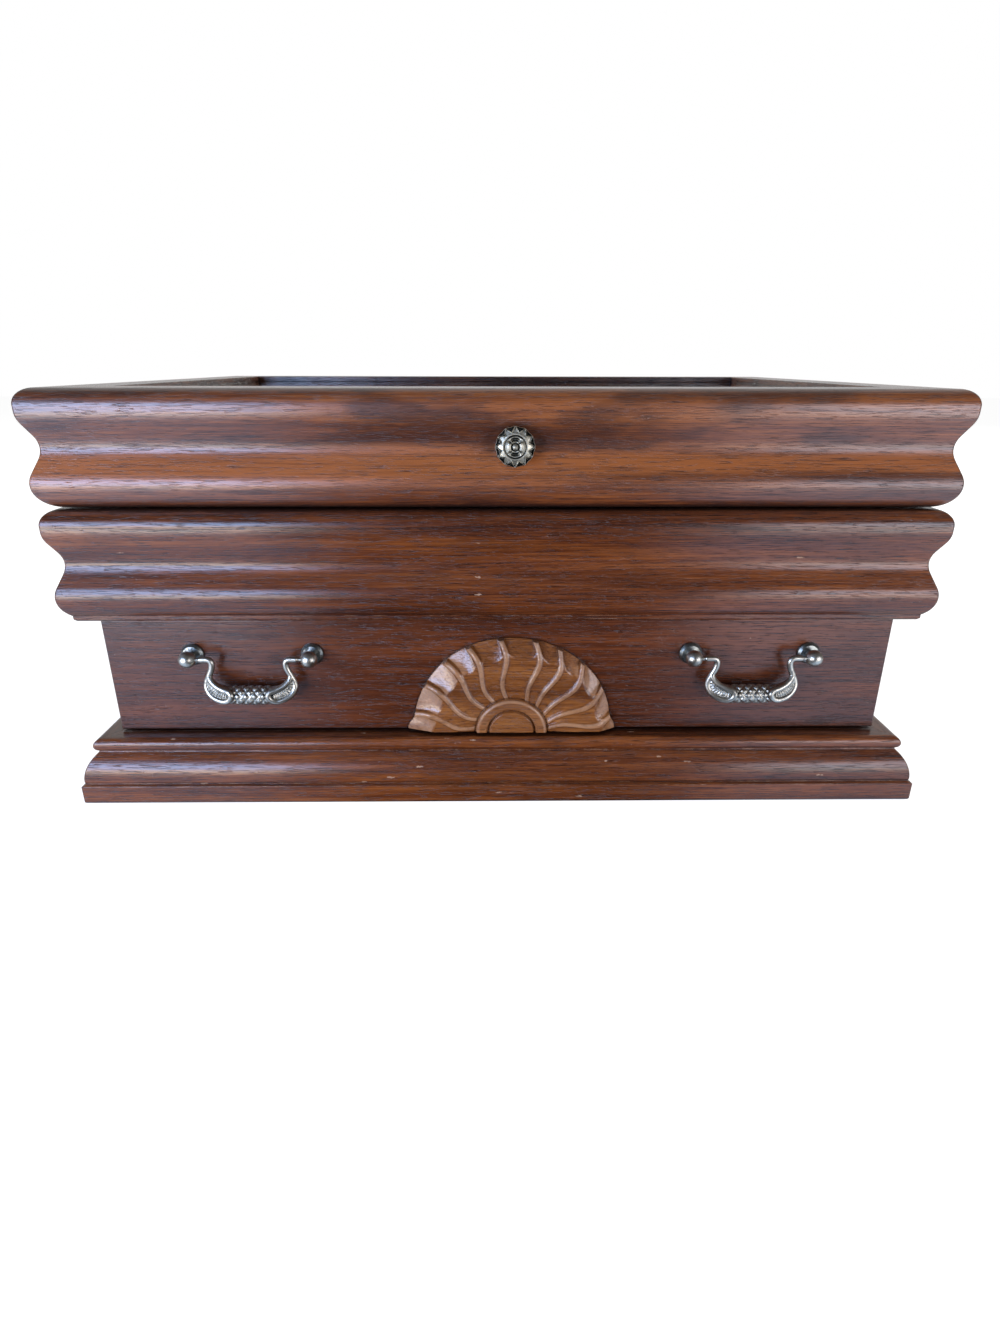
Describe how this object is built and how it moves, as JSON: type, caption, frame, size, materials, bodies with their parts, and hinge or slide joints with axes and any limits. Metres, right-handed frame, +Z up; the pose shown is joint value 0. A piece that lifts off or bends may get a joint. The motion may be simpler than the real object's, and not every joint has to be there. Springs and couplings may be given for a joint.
{
  "type": "jewelry box with drawer",
  "caption": "Low wooden jewelry box with double-bead mouldings, a hinged glass-topped lid with a small knob, and a drawer with swinging bail pulls and a fan carving.",
  "frame": {"origin": "middle of the underside, where the box rests", "axes": "+Z up, +X to the right of someone facing the drawer, the drawer and knob face -Y"},
  "size_m": [0.3642, 0.2639, 0.1719],
  "materials": {
    "mahogany": "satin lacquer over red-brown stain",
    "carved_mahogany": "gloss lacquer over amber-brown stain",
    "plain_wood": "bare planed wood",
    "panel_wood": "bare plywood",
    "felt": "dark green felt",
    "velvet": "wine red velvet",
    "glass": "clear polished float glass",
    "pewter": "antique pewter plating, rubbed bright on the high places",
    "hinge_brass": "satin brass",
    "steel": "zinc-plated steel"
  },
  "bodies": {
    "case": {"plinth_front": "mahogany", "plinth_back": "mahogany", "plinth_left": "mahogany", "plinth_right": "mahogany", "base_felt": "felt", "bottom_panel": "panel_wood", "glue_blocks": "plain_wood", "side_left": "mahogany", "side_right": "mahogany", "back_board": "mahogany", "top_rail": "mahogany", "bottom_rail": "mahogany", "compartment_floor": "panel_wood", "runner_left": "plain_wood", "runner_right": "plain_wood", "drawer_stops": "plain_wood", "case_moulding_front": "mahogany", "case_moulding_back": "mahogany", "case_moulding_left": "mahogany", "case_moulding_right": "mahogany", "floor_lining": "velvet", "lining_front": "velvet", "lining_back": "velvet", "lining_left": "velvet", "lining_right": "velvet", "divider_left": "velvet", "divider_right": "velvet", "divider_cross": "velvet", "ring_rolls": "velvet", "hinge_case_leaf_left": "hinge_brass", "hinge_case_leaf_right": "hinge_brass", "hinge_pin_left": "hinge_brass", "hinge_pin_right": "hinge_brass", "hinge_case_screws": "hinge_brass"},
    "lid": {"lid_front": "mahogany", "lid_back": "mahogany", "lid_left": "mahogany", "lid_right": "mahogany", "lid_glass": "glass", "glass_bead_front": "plain_wood", "glass_bead_back": "plain_wood", "glass_bead_left": "plain_wood", "glass_bead_right": "plain_wood", "lid_knob": "pewter", "knob_screw": "steel", "hinge_lid_leaf_left": "hinge_brass", "hinge_lid_leaf_right": "hinge_brass", "hinge_lid_screws": "hinge_brass"},
    "drawer": {"drawer_front": "mahogany", "drawer_side_left": "plain_wood", "drawer_side_right": "plain_wood", "drawer_back": "plain_wood", "drawer_bottom": "panel_wood", "drawer_lining": "velvet", "fan_carving": "carved_mahogany", "handle_rosettes": "pewter", "handle_posts": "pewter", "handle_nuts": "steel"},
    "bail_left": {"bail_left": "pewter"},
    "bail_right": {"bail_right": "pewter"}
  },
  "joints": [
    {"name": "lid_hinge", "type": "hinge", "parent": "case", "child": "lid", "pos_m": [0, 0.1232, 0.1275], "axis": [-1, 0, 0], "range_deg": [0, 102]},
    {"name": "drawer_slide", "type": "slide", "parent": "case", "child": "drawer", "axis": [0, -1, 0], "range_m": [0, 0.15]},
    {"name": "bail_left_swing", "type": "hinge", "parent": "drawer", "child": "bail_left", "pos_m": [-0.1053, -0.1235, 0.065], "axis": [-1, 0, 0], "range_deg": [-8, 162]},
    {"name": "bail_right_swing", "type": "hinge", "parent": "drawer", "child": "bail_right", "pos_m": [0.1075, -0.1235, 0.065], "axis": [-1, 0, 0], "range_deg": [-8, 162]}
  ]
}
